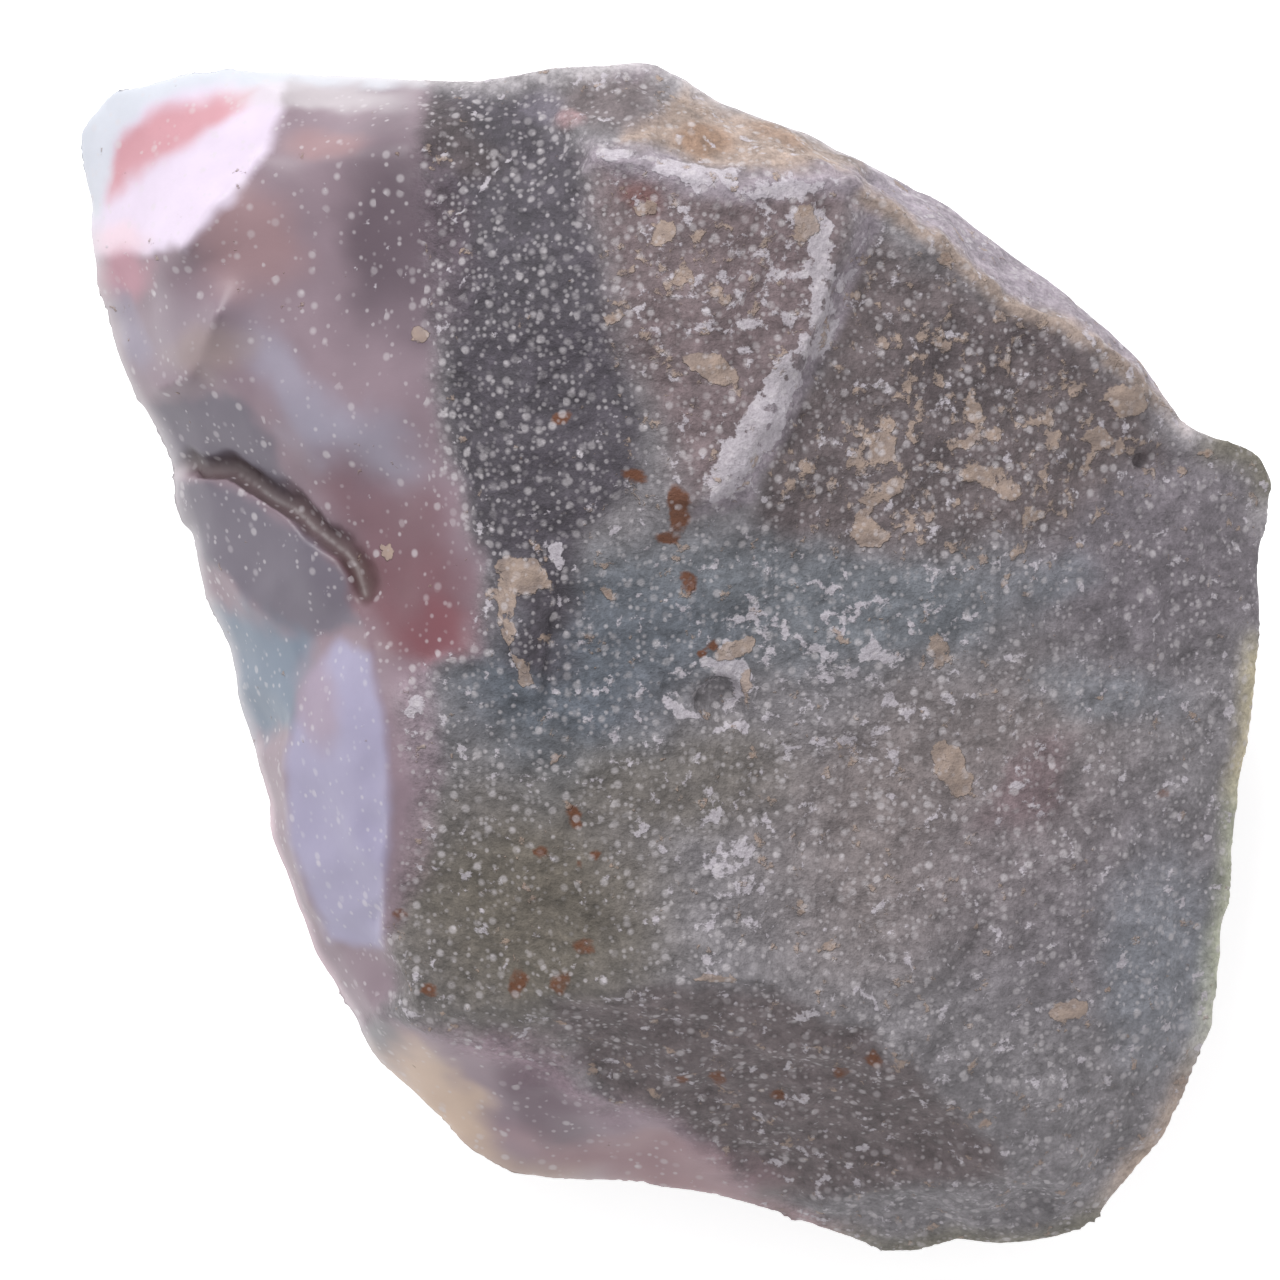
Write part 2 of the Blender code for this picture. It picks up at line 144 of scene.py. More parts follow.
def in_oval(x, y, oval, soft=0.6):
    """1 in an oval (x, y, half length, half width, turn in degrees), fading out over soft."""
    middle_x, middle_y, half_length, half_width, turn = oval
    turn = math.radians(turn)
    along = (x - middle_x) * math.cos(turn) + (y - middle_y) * math.sin(turn)
    across = (y - middle_y) * math.cos(turn) - (x - middle_x) * math.sin(turn)
    spread = np.hypot(along / half_length, across / half_width)
    return ease((1.0 - spread) / soft + 0.5)


def in_outline(x, y, outline, soft=0.5):
    """1 inside a closed outline of corners, fading out over soft millimetres about its edge."""
    closed = outline + outline[:1]
    inside = np.zeros(x.shape, bool)
    for (x0, y0), (x1, y1) in zip(closed, closed[1:]):
        if y0 != y1:
            crosses = (y0 > y) != (y1 > y)
            inside ^= crosses & (x < (x1 - x0) * (y - y0) / (y1 - y0) + x0)
    away = from_line(x, y, closed)
    return ease(0.5 + np.where(inside, away, -away) / soft)


def on_line(x, y, line, width, soft=0.5):
    """1 on a line of that width, fading out at its sides over a share of the width."""
    return ease((1.0 - from_line(x, y, line) / (0.5 * width)) / soft)


def grain_noise(points, size, seed=0.0):
    """Smooth random bumps of a real size, from -1 to 1, at each point (all in millimetres)."""
    shifted = points / size + seed
    return np.array([noise.noise(Vector(point)) for point in shifted])


# %% [markdown]
# ## The ridges
#
# When stone breaks, it leaves ridges where two breaks meet and ledges where a break stopped.
# They are the stone's drawing, so they are listed by name here, in plan. They keep the skin crisp
# while it is smoothed, and later the paint follows them: a bruised edge is paler than the face beside
# it, a thin edge is painted paler for the light that comes through it, and the foot of the shelf step
# gets a painted shadow.

# %% Ridges and ledges, in plan
RIDGES = {
    "back ridge": (
        (6.2, 15.5), (7.5, 14.7), (8.8, 14.0), (9.9, 13.0), (10.8, 12.1), (11.7, 11.7),
        (12.9, 11.4), (13.9, 10.8), (14.5, 10.3), (15.3, 9.7), (15.9, 9.0), (16.9, 8.2)),
    "crest": (
        (-2.7, 16.7), (-0.6, 16.3), (0.6, 15.9), (2.2, 15.6), (4.1, 15.9), (5.9, 16.0),
        (6.2, 15.5)),
    "block edge": (
        (6.2, 15.5), (5.9, 14.7), (5.6, 13.7), (5.1, 12.6), (5.0, 11.8), (4.6, 10.9),
        (4.1, 10.0), (3.5, 9.5), (3.1, 8.7), (3.0, 8.0), (2.7, 7.5), (2.3, 6.5), (1.8, 6.0),
        (1.2, 5.5), (0.6, 5.2), (0.2, 6.0), (0.3, 6.7)),
    "block foot": (
        (6.4, 14.5), (6.3, 13.5), (5.7, 12.5), (5.5, 11.7), (5.2, 10.7), (4.8, 9.8), (4.1, 9.4),
        (3.8, 8.7), (3.6, 7.9), (3.3, 7.4), (2.8, 6.4), (2.4, 5.7), (1.5, 5.2), (0.7, 4.8),
        (-0.1, 5.5), (-0.2, 6.6)),
    "lens line": (
        (-10.1, 0.6), (-9.6, -1.6), (-9.5, -3.9), (-9.6, -6.0), (-9.8, -7.7), (-9.9, -9.0),
        (-9.3, -9.9), (-8.6, -11.6)),
    "lens far line": (
        (-12.5, 0.6), (-12.9, -1.6), (-13.1, -3.7), (-12.9, -5.9), (-12.3, -8.0), (-11.2, -9.7),
        (-10.0, -11.7)),
    "brow": (
        (-11.3, -11.2), (-10.0, -11.7), (-8.6, -11.6), (-7.0, -11.6), (-3.5, -10.9),
        (0.8, -10.4), (2.9, -10.5), (4.5, -11.3), (5.7, -11.9), (7.0, -12.4), (7.7, -13.3),
        (9.3, -14.6), (10.6, -15.8), (11.0, -17.2)),
    "front ledge": (
        (3.7, -18.9), (5.5, -18.0), (8.6, -17.6), (11.0, -17.2), (12.7, -17.1), (13.6, -17.4),
        (14.3, -18.8)),
    "streak ridge": (
        (-15.0, 19.9), (-13.1, 18.9), (-13.6, 17.3), (-14.2, 16.2), (-15.3, 15.2),
        (-16.3, 13.8)),
    "scar lip": ((-18.2, 9.0), (-17.1, 9.2), (-16.2, 9.5), (-15.7, 10.1), (-15.2, 11.6)),
    "shelf lip": (
        (-16.9, 6.4), (-15.8, 6.2), (-14.9, 6.2), (-14.0, 5.6), (-12.9, 4.9), (-12.3, 4.1),
        (-11.1, 3.5), (-10.7, 2.2), (-10.1, 0.6)),
    "shelf foot": (
        (-16.3, 6.8), (-15.7, 6.6), (-14.8, 6.6), (-13.8, 6.0), (-12.7, 5.3), (-12.0, 4.5),
        (-10.9, 3.9), (-10.2, 2.5)),
    "low lip": ((-16.2, 4.2), (-15.6, 3.7), (-14.6, 2.4), (-14.3, 2.0), (-12.5, 0.6)),
}

# %% [markdown]
# ## Smoothing without losing the ridges
#
# The CAD net shows its own flat triangles, which no stone has. Averaging each vertex with its
# neighbours melts them away, and does the same to the ridges, so the vertices on a ridge sit out
# most of the rounds. The flat spot on the underside doesn't move at all: the stone rests on it.

# %% Smooth the skin
SMOOTH_ROUNDS = 16
RIDGE_ROUNDS = 3
SMOOTH_SHARE = 0.5
RIDGE_REACH = 0.16

skin.verts.ensure_lookup_table()
places = np.array([vert.co for vert in skin.verts]) / MM
normals = np.array([vert.normal for vert in skin.verts])
upper = normals[:, 2] > 0.02
ridge_distance = np.min([from_line(places[:, 0], places[:, 1], line)
                         for line in RIDGES.values()], axis=0)
on_ridge = upper & (ridge_distance < RIDGE_REACH)
loose = [vert for vert, held in zip(skin.verts, on_ridge)
         if not held and vert.co.z > FLAT_SPOT_TOP]
bruised = [vert for vert in skin.verts if vert.co.z > FLAT_SPOT_TOP]
for smooth_round in range(SMOOTH_ROUNDS):
    moving = bruised if smooth_round < RIDGE_ROUNDS else loose
    bmesh.ops.smooth_vert(skin, verts=moving, factor=SMOOTH_SHARE,
                          use_axis_x=True, use_axis_y=True, use_axis_z=True)
print("smoothed", len(loose), "vertices, kept", int(on_ridge.sum()), "on ridges")

# %% [markdown]
# ## The rim
#
# The rim is where the stone turns over from its upper side to its underside. It is thin there,
# so light comes through, and it is chipped finer than the faces. The rim is found from the mesh
# itself: it runs along the edges with one face that looks up and one that looks down.

# %% Find the rim
skin.normal_update()
rim_verts = {vert for edge in skin.edges if len(edge.link_faces) == 2
             and edge.link_faces[0].normal.z * edge.link_faces[1].normal.z < 0.0
             for vert in edge.verts if vert.co.z > 2.0 * MM}
rim_tree = kdtree.KDTree(len(rim_verts))
for index, vert in enumerate(rim_verts):
    rim_tree.insert(vert.co, index)
rim_tree.balance()
rim_distance = np.array([rim_tree.find(vert.co)[2] for vert in skin.verts]) / MM
print("rim vertices:", len(rim_verts), " farthest from it in mm:", round(rim_distance.max(), 1))

# %% [markdown]
# ## One mesh to work on
#
# From here on no edge or face changes, only the places of the vertices. The skin becomes a mesh,
# and its places and normals become arrays in millimetres.

# %% Skin to mesh
stone_mesh = bpy.data.meshes.new("bloodstone_skin")
skin.to_mesh(stone_mesh)
skin.free()
if "custom_normal" in stone_mesh.attributes:
    stone_mesh.attributes.remove(stone_mesh.attributes["custom_normal"])
stone_mesh.shade_smooth()
stone = bpy.data.objects.new("bloodstone_skin", stone_mesh)
bpy.context.scene.collection.objects.link(stone)


def read_places():
    """Places and normals of all vertices, in millimetres."""
    values = np.empty(len(stone_mesh.vertices) * 3, np.float32)
    stone_mesh.vertices.foreach_get("co", values)
    turned = np.empty(len(stone_mesh.vertices) * 3, np.float32)
    stone_mesh.vertex_normals.foreach_get("vector", turned)
    return values.reshape(-1, 3).astype(float) / MM, turned.reshape(-1, 3).astype(float)


def write_places(points):
    stone_mesh.vertices.foreach_set("co", (points * MM).astype(np.float32).ravel())
    stone_mesh.update()


points, normals = read_places()
x, y, z = points.T
facing_up = ease((normals[:, 2] + 0.05) / 0.3)
off_rim = ease(rim_distance / 1.2)
print("vertices:", len(points), " facing up:", int((facing_up > 0.5).sum()))

# %% [markdown]
# ## Edges that wander
#
# No border between two minerals is a clean curve. Three sets of shaken places do for all of
# them: nearly still ones for sharp small marks, ones shaken by a quarter of a millimetre for
# patches, and ones shaken by about a millimetre for the broad grounds.

# %% Shaken places
def shaken(seed, *layers):
    """Places in plan, moved by layers of noise given as (size, reach)."""
    moved_x = x + sum(reach * grain_noise(points, size, seed + 3.0 * size) for size, reach in layers)
    moved_y = y + sum(reach * grain_noise(points, size, seed + 7.7 * size) for size, reach in layers)
    return moved_x, moved_y


STILL = shaken(11.0, (0.5, 0.07))
NEAR = shaken(12.0, (1.3, 0.25), (0.5, 0.12))
WIDE = shaken(13.0, (3.4, 1.0), (1.2, 0.4), (0.5, 0.15))

# %% [markdown]
# ## Where the stone is waxy
#
# The two kinds of break need different relief and a different finish. The waxy ground is the
# scoop in the upper left, the pointed tip, the scars and the lens-shaped facet down the left
# side, and a strip along the front edge. Everything else is granular.

# %% Waxy and granular ground
SCOOP_GROUND = (
    (-8.2, 20.5), (-8.3, 18.2), (-8.4, 15.5), (-8.1, 12.1), (-8.0, 8.8), (-7.6, 7.2),
    (-6.9, 5.0), (-6.4, 3.4), (-6.6, 0.5), (-8.2, 0.3), (-9.4, -1.2), (-8.6, -4.0), (-9.2, -7.0),
    (-9.5, -9.5), (-9.3, -10.8), (-10.4, -12.2), (-22.0, -12.0), (-22.0, 22.0))
FRONT_STRIP = (
    (-13.0, -11.5), (-9.0, -12.0), (-5.9, -13.3), (-2.6, -14.6), (0.5, -16.3), (3.4, -17.8),
    (3.4, -22.0), (-13.0, -22.0))
waxy = np.maximum(in_outline(*NEAR, SCOOP_GROUND, 1.0), in_outline(*WIDE, FRONT_STRIP, 1.4))
waxy = waxy * facing_up
granular = 1.0 - waxy
print("waxy share of the upper side:", round(float(waxy[facing_up > 0.5].mean()), 2))

# %% [markdown]
# ## Relief of the granular faces
#
# A granular break is rough at every scale, from dents a few millimetres wide to grains a fifth of
# a millimetre wide. The larger part is made here, in the mesh, where it also shows from the side.
# Rounding one layer of the noise to steps gives small flat flakes with sharp little ledges.

# %% Dents, flakes and grain
FLAKE_STEP = 0.10


def flakes(size, seed):
    """Noise cut into flat steps with short steep sides."""
    level = grain_noise(points, size, seed) * 0.5 / FLAKE_STEP
    whole = np.floor(level)
    return (whole + ease((level - whole - 0.4) / 0.2)) * FLAKE_STEP


dents = 0.05 * grain_noise(points, 2.4, 21.0) + 0.04 * grain_noise(points, 1.1, 22.0)
grit = 0.045 * grain_noise(points, 0.5, 23.0) + 0.03 * grain_noise(points, 0.3, 24.0)
flaking = 0.45 * flakes(1.5, 25.0) + 0.2 * flakes(0.7, 26.0)
waxy_swell = 0.05 * grain_noise(points, 2.6, 27.0) + 0.010 * grain_noise(points, 0.6, 28.0)
relief = granular * (dents + grit + flaking) * (0.25 + 0.75 * off_rim) + waxy * waxy_swell
on_flat_spot = ease(z / 1.2)
points = points + normals * (relief * on_flat_spot)[:, None]
write_places(points)
print("relief in mm: lowest", round(float(relief.min()), 3), "highest", round(float(relief.max()), 3))

# %% [markdown]
# ## Small marks
#
# A few small things break the pattern, and the eye finds them at once: the ring-shaped crater
# with its white rim, three curved ripples beside it, a raised flake of crust, the shadowed step
# behind the shelf on the left, and a few pits and nodules.

# %% Press the marks in
points, normals = read_places()
CRATER = (1.42, -1.15)
RIPPLES = (
    ((-1.1, 0.45), (-0.3, 0.1), (0.3, -0.2)),
    ((-0.9, 0.15), (-0.4, -0.3), (0.1, -0.6), (0.5, -0.6)),
    ((-1.3, 0.2), (-0.6, -0.5), (0.0, -0.9), (0.5, -1.0)),
)
FLAKE_OUTLINE = (
    (-6.0, 3.4), (-5.5, 3.7), (-4.9, 3.5), (-4.2, 3.2), (-4.0, 2.4), (-4.2, 1.2), (-4.4, 0.0),
    (-4.3, -1.3), (-4.7, -0.8), (-5.2, -0.3), (-5.4, 0.4), (-5.6, 1.2), (-5.75, 2.2), (-6.05, 2.8))
PITS = (
    (-0.85, 14.8, 0.16, 0.35), (15.45, 6.8, 0.3, 0.35), (9.55, 5.8, 0.3, 0.15),
    (6.2, 8.7, 0.2, 0.15), (4.3, 8.2, 0.25, 0.12), (11.5, 10.6, 0.25, 0.12),
)
NODULES = (
    (15.0, 8.9, 0.6, 0.14), (-3.6, 18.1, 0.5, 0.14), (-8.4, 10.95, 0.28, 0.08),
    (13.1, -11.5, 0.5, 0.10), (5.9, 4.95, 0.15, 0.06), (1.0, 9.8, 0.8, 0.06),
)


def ring(middle, radius, width):
    """1 on a ring, seen in plan."""
    away = np.hypot(STILL[0] - middle[0], STILL[1] - middle[1])
    return ease(1.0 - np.abs(away - radius) / width)


marks = 0.10 * ring(CRATER, 0.98, 0.32) - 0.16 * in_oval(*STILL, CRATER + (0.8, 0.75, 0.0), 0.25)
marks += 0.05 * ring((3.9, 2.95), 0.95, 0.3)
for line in RIPPLES:
    marks -= 0.09 * on_line(*STILL, line, 0.24, 1.0)
marks += 0.16 * in_outline(*NEAR, FLAKE_OUTLINE, 0.25)
marks -= 0.30 * on_line(*NEAR, RIDGES["shelf foot"], 1.2, 1.0)
for pit_x, pit_y, radius, depth in PITS:
    marks -= depth * in_oval(*STILL, (pit_x, pit_y, radius, radius, 0.0), 0.7)
for lump_x, lump_y, radius, height in NODULES:
    marks += height * in_oval(*STILL, (lump_x, lump_y, radius, radius, 0.0), 0.9)
points = points + normals * (marks * facing_up)[:, None]
write_places(points)

# %% Stay inside the CAD box
points, normals = read_places()
low, high = np.array(cad_box[0]) / MM, np.array(cad_box[1]) / MM
spread = points.max(axis=0) - points.min(axis=0)
points = (points - points.min(axis=0)) / spread * (high - low) + low
write_places(points)
print("skin in mm:", points.min(axis=0).round(2), points.max(axis=0).round(2))

# %% [markdown]
# ## Colours
#
# Colours are written as sRGB hex values, as a paint chart gives them, and turned linear by one
# function. Each has the name of the tint that it gives the stone; the glows and the sheen among them
# are painted light.

# %% Palette
PALETTE = {
    "ash": "787478", "warm ash": "7A6F6E", "mauve ash": "706970", "blue ash": "666A71",
    "slate": "595E67", "steel": "7E838C", "charcoal": "454048", "soot": "4A4144",
    "umber grey": "615759", "umber": "4A3B38", "cocoa": "6C5E61", "maroon": "6A4846",
    "olive grey": "5F584E", "olive": "75705A", "olive yellow": "807848", "tan": "9C8A80",
    "ochre": "A88E68", "orange brown": "8C6A50", "rust": "64381C", "cream": "C2AA98",
    "yellow glow": "D0C39C", "green glow": "C0C3A6", "bone": "C4BEC2", "white": "DAD5DC",
    "lilac white": "CFC2D4", "lilac": "B9A6B8", "blue lilac": "9590AB", "lilac grey": "948A94",
    "dusty mauve": "84727C", "mauve": "907A86", "plum": "5E4C5B", "deep plum": "544650",
    "wine": "6B4A52", "red wine": "74424A", "rose brown": "98797C", "rose": "B58290",
    "salmon": "BC7F86", "pink white": "D4BAC4", "ice": "BFC3CC", "teal": "6C7B8B",
    "violet grey": "66606C", "painted sheen": "8F8A9A",
}


def linear(hex_colour):
    """sRGB hex value to the linear colour that the renderer works with."""
    channels = [int(hex_colour[start:start + 2], 16) / 255.0 for start in (0, 2, 4)]
    return np.array([channel / 12.92 if channel <= 0.04045 else ((channel + 0.055) / 1.055) ** 2.4
                     for channel in channels])


# %% [markdown]
# ## Painting the grounds
#
# The minerals are not laid on by an image. Each ground is an outline, an oval or a line in plan
# with a soft, wandering edge, painted over the ones before it, as a painter blocks in a picture:
# the broad grounds first, then the patches, then the edges.

# %% Paint helpers
paint = np.tile(linear(PALETTE["ash"]), (len(points), 1))


def lay(colour, mask, strength=1.0):
    """Lay a colour of the palette over the paint where the mask is."""
    global paint
    share = (np.clip(mask, 0.0, 1.0) * strength * facing_up)[:, None]
    paint = paint * (1.0 - share) + linear(PALETTE[colour]) * share


def lay_ovals(places, soft, ovals):
    """Lay ovals given as (colour, strength, x, y, half length, half width, turn)."""
    for colour, strength, *oval in ovals:
        lay(colour, in_oval(*places, oval, soft), strength)


# %% Broad grounds of the granular face
lay_ovals(WIDE, 1.2, (
    ("mauve ash", 0.9, 15.5, 4.0, 4.5, 4.0, 0.0),
    ("blue ash", 0.9, 7.0, 2.2, 4.6, 1.9, 0.0),
    ("blue ash", 0.9, 0.6, 2.2, 3.8, 2.2, 10.0),
    ("slate", 1.0, -4.0, -0.8, 3.4, 3.2, -20.0),
    ("slate", 0.7, -0.8, 0.8, 3.0, 1.8, 0.0),
    ("olive grey", 0.9, -5.2, -8.0, 4.2, 4.2, -20.0),
    ("olive grey", 0.6, 0.4, -4.0, 3.4, 1.6, 0.0),
    ("warm ash", 0.7, 8.8, -5.0, 6.0, 4.0, 30.0),
    ("mauve ash", 0.5, 13.0, -7.5, 4.5, 4.0, 0.0),
    ("steel", 0.6, 16.2, -9.8, 1.8, 3.2, 0.0),
    ("steel", 0.5, 14.4, -0.8, 2.4, 1.0, 0.0),
    ("steel", 0.5, 12.6, 3.0, 1.3, 0.9, 0.0),
))
lay("umber grey", in_outline(*WIDE, (
    (6.3, 14.6), (8.8, 13.6), (10.8, 11.8), (13.9, 10.4), (15.8, 9.2), (16.0, 7.0), (13.0, 5.0),
    (9.0, 4.2), (5.5, 3.8), (2.4, 4.4), (3.4, 7.4), (5.0, 10.4), (5.6, 12.4)), 1.6))
lay("charcoal", in_outline(*WIDE, (
    (-8.4, 19.0), (-7.0, 18.8), (-5.2, 19.0), (-4.2, 19.0), (-3.4, 17.2), (-3.0, 15.0),
    (-2.4, 13.4), (-2.0, 12.0), (-2.2, 10.0), (-1.6, 8.5), (-1.6, 6.5), (-2.8, 5.0), (-3.2, 3.4),
    (-3.5, 1.0), (-4.0, -0.5), (-5.2, 0.5), (-5.6, 3.0), (-6.4, 4.2), (-7.2, 6.8), (-7.9, 9.0),
    (-8.2, 12.1), (-8.4, 15.5), (-8.6, 17.2)), 1.5))
lay("cocoa", in_outline(*NEAR, (
    (-2.8, 16.7), (0.6, 16.2), (5.9, 16.1), (5.4, 13.0), (4.6, 10.6), (3.2, 8.4), (1.4, 5.7),
    (0.5, 5.1), (0.0, 6.5), (-0.7, 8.5), (-1.8, 10.5), (-2.2, 13.0), (-2.7, 15.0)), 1.5))
lay_ovals(WIDE, 1.0, (
    ("soot", 0.9, -7.4, 17.2, 1.6, 1.0, 0.0),
    ("soot", 0.7, 9.2, 10.0, 2.2, 1.4, -20.0),
    ("soot", 0.6, 11.9, 10.4, 1.2, 0.6, -30.0),
    ("soot", 0.6, 8.4, 7.4, 1.2, 0.8, 0.0),
    ("soot", 0.5, 4.6, 7.6, 1.0, 0.7, 0.0),
    ("soot", 0.5, 3.4, 4.6, 1.6, 0.8, 0.0),
    ("wine", 0.35, 11.7, -4.0, 0.8, 1.6, -40.0),
    ("maroon", 0.8, -1.3, 15.6, 0.55, 0.4, 0.0),
))

# %% Top edge, crest and bevel
lay("tan", in_outline(*NEAR, (
    (-1.8, 17.7), (-0.6, 18.2), (0.4, 19.3), (1.5, 18.6), (4.3, 17.8), (6.4, 16.4), (6.2, 15.8),
    (4.0, 16.3), (1.5, 16.4), (-0.5, 16.9), (-2.0, 17.1)), 0.6), 0.95)
lay_ovals(NEAR, 0.9, (
    ("orange brown", 0.6, 0.9, 17.2, 0.9, 0.5, 0.0),
    ("orange brown", 0.4, 3.4, 17.5, 1.0, 0.3, -15.0),
    ("umber grey", 0.9, -2.2, 18.7, 1.7, 1.1, 0.0),
    ("plum", 0.6, -1.2, 19.6, 0.9, 0.35, 0.0),
    ("violet grey", 0.7, -4.4, 18.5, 0.7, 0.5, 0.0),
    ("rose brown", 0.6, -3.5, 18.0, 0.5, 0.4, 0.0),
))
lay("lilac grey", on_line(*NEAR, RIDGES["crest"], 1.6, 0.9), 0.9)
lay("lilac grey", in_outline(*NEAR, (
    (6.2, 15.5), (5.6, 13.7), (5.0, 11.8), (4.2, 10.1), (3.1, 8.7), (2.5, 7.0), (1.2, 5.4),
    (0.6, 5.0), (2.5, 5.5), (3.4, 7.2), (4.3, 9.3), (5.4, 11.5), (6.0, 13.2), (6.6, 14.8)), 0.5),
    0.85)
lay("tan", on_line(*NEAR, RIDGES["back ridge"], 1.3, 0.9), 0.85)
# Behind the back ridge the facet is painted lilac grey: partly its own colour, partly painted light
# for a lit facet.
lay("lilac grey", in_outline(*STILL, (
    (6.4, 15.6), (8.8, 14.2), (10.8, 12.3), (12.9, 11.6), (14.5, 10.5), (16.0, 9.2), (18.0, 9.0),
    (12.0, 14.0), (6.0, 17.5)), 0.35), 0.9)

# %% Front facets, with painted shade
# Painted shade: the facets under the brow face away from the lamp and are painted darker, umber grey.
lay("umber grey", in_outline(*NEAR, (
    (-4.2, -11.2), (0.8, -10.6), (3.2, -10.8), (7.2, -12.8), (9.3, -14.8), (10.8, -16.2),
    (11.0, -17.2), (3.0, -18.0), (0.5, -16.0), (-2.6, -14.3)), 0.8), 0.95)
lay("mauve", in_outline(*WIDE, (
    (-10.0, -12.0), (-4.2, -12.4), (-2.2, -14.3), (2.8, -17.4), (2.4, -20.0), (-8.0, -19.0)), 1.4),
    0.8)
lay_ovals(WIDE, 1.0, (
    ("rose brown", 0.7, -1.6, -16.8, 4.2, 0.9, -10.0),
    ("deep plum", 0.5, -4.8, -14.8, 1.8, 1.0, -20.0),
    ("cream", 0.95, -8.0, -14.9, 2.4, 1.0, -52.0),
))

# %% Waxy left side
lay("dusty mauve", in_outline(*NEAR, SCOOP_GROUND, 0.9))
lay_ovals(WIDE, 1.2, (
    ("deep plum", 0.9, -9.2, 14.2, 1.7, 3.6, 0.0),
    ("rose brown", 0.7, -14.5, 14.3, 1.8, 1.4, -30.0),
    # Painted sheen: the bluish shine of the waxy scoop, painted into the colour.
    ("painted sheen", 0.8, -12.6, 9.0, 1.0, 2.8, 30.0),
    ("painted sheen", 0.8, -10.6, 7.2, 1.9, 1.2, -20.0),
    ("wine", 0.7, -9.6, 5.2, 2.4, 1.2, -20.0),
    ("wine", 1.0, -8.8, 2.4, 2.4, 1.8, -20.0),
    ("red wine", 0.8, -7.6, 1.5, 1.2, 0.8, 0.0),
    ("lilac grey", 0.5, -16.6, 10.9, 1.6, 1.6, 20.0),
    ("tan", 0.4, -15.4, 10.4, 1.4, 1.0, 20.0),
))
lay("violet grey", in_outline(*NEAR, (
    (-17.6, 8.7), (-16.4, 9.0), (-14.6, 8.9), (-13.4, 7.6), (-12.7, 5.4), (-15.0, 6.6),
    (-17.2, 6.8)), 0.6), 0.95)
lay("violet grey", in_outline(*NEAR, (
    (-16.9, 6.2), (-14.9, 6.0), (-12.9, 4.7), (-11.1, 3.3), (-10.5, 1.4), (-12.4, 0.8),
    (-14.2, 2.2), (-16.6, 4.2)), 0.5), 0.95)
# Painted shadow: a dark umber line along the foot of the shelf step, where the step's shadow falls.
lay("umber", on_line(*NEAR, RIDGES["shelf foot"], 1.3, 0.9), 0.75)
lay("teal", in_outline(*WIDE, (
    (-14.2, 1.8), (-12.4, 0.4), (-12.8, -2.4), (-15.2, -2.4), (-15.6, 1.8)), 1.0), 0.9)
lay("blue lilac", in_outline(*STILL, (
    (-10.1, 0.4), (-9.6, -2.0), (-9.4, -4.0), (-9.5, -6.0), (-9.8, -9.4), (-11.6, -9.2),
    (-12.9, -5.9), (-13.0, -3.0), (-12.3, -0.4), (-11.2, 0.9)), 0.5), 0.95)
lay("mauve", in_oval(*NEAR, (-11.9, -1.2, 0.7, 1.6, 10.0), 1.0), 0.6)
lay("mauve", in_outline(*NEAR, (
    (-9.5, -0.2), (-8.0, 0.2), (-7.8, -4.0), (-8.4, -7.0), (-9.6, -9.0), (-9.3, -4.0)), 0.9), 0.5)

# %% Tip, partly painted highlight
# The tip's pale paints are partly its own colour and partly painted highlight on facets that face the
# lamp.
lay("lilac white", in_outline(*NEAR, (
    (-22.0, 22.0), (-12.9, 21.0), (-13.0, 18.6), (-13.4, 17.0), (-14.8, 15.4), (-16.2, 13.8),
    (-18.6, 13.7), (-22.0, 13.8)), 0.5), 0.95)
lay("salmon", in_outline(*NEAR, (
    (-19.0, 16.6), (-18.7, 17.6), (-17.2, 18.6), (-14.0, 19.2), (-14.4, 18.6), (-16.0, 17.4),
    (-17.6, 16.6), (-18.9, 15.6)), 0.8), 0.85)
lay("ice", in_outline(*NEAR, (
    (-21.0, 15.0), (-19.3, 15.2), (-18.9, 16.4), (-18.8, 17.5), (-17.6, 18.7), (-16.0, 19.3),
    (-8.4, 19.3), (-8.4, 21.0), (-21.0, 21.0)), 0.5), 0.9)
lay_ovals(NEAR, 1.0, (
    ("pink white", 0.8, -18.8, 14.2, 1.2, 0.6, 0.0),
    ("rose", 0.8, -18.4, 13.0, 0.9, 0.8, 0.0),
    # Painted sheen on the tip, as on the scoop.
    ("painted sheen", 0.7, -18.2, 11.2, 0.4, 1.3, 20.0),
    ("bone", 0.6, -12.0, 18.9, 2.8, 0.5, -3.0),
    ("rose brown", 0.8, -11.6, 17.2, 1.2, 0.5, 0.0),
))
print("grounds painted")

# %% [markdown]
# ## Painted glow of the thin edges
#
# Light comes through a thin edge of chalcedony, so the outline glows. Here that glow is painted into
# the colour as painted light: the outline of the stone is painted paler than its faces and in a clear
# tint, bluish at the tip, pink and cream on the left, yellow and green on the right.

# %% Painted glow: paler, tinted rims
rim_glow = ease(1.0 - rim_distance / 1.3)
RIM_GLOW_TINTS = (
    ("bone", 0.0, 0.0, 40.0, 40.0), ("ice", -17.0, 18.0, 5.0, 4.0),
    ("pink white", -13.0, -8.0, 3.0, 5.0), ("cream", -7.5, -16.0, 4.0, 3.0),
    ("rose brown", 2.0, -18.5, 5.0, 2.5), ("olive", 11.0, -19.5, 5.0, 2.0),
    ("cream", 16.0, -15.5, 2.5, 3.0), ("green glow", 18.5, -6.5, 3.0, 6.0),
    ("yellow glow", 19.3, -1.6, 2.4, 2.2), ("mauve ash", 19.5, 2.6, 2.4, 1.8),
    ("olive", 19.0, 6.6, 2.0, 1.4), ("lilac grey", 12.0, 13.0, 7.0, 5.0),
)
rim_glow_tint = np.tile(linear(PALETTE["bone"]), (len(points), 1))
for colour, middle_x, middle_y, half_x, half_y in RIM_GLOW_TINTS:
    share = in_oval(*WIDE, (middle_x, middle_y, half_x, half_y, 0.0), 0.8)[:, None]
    rim_glow_tint = rim_glow_tint * (1.0 - share) + linear(PALETTE[colour]) * share
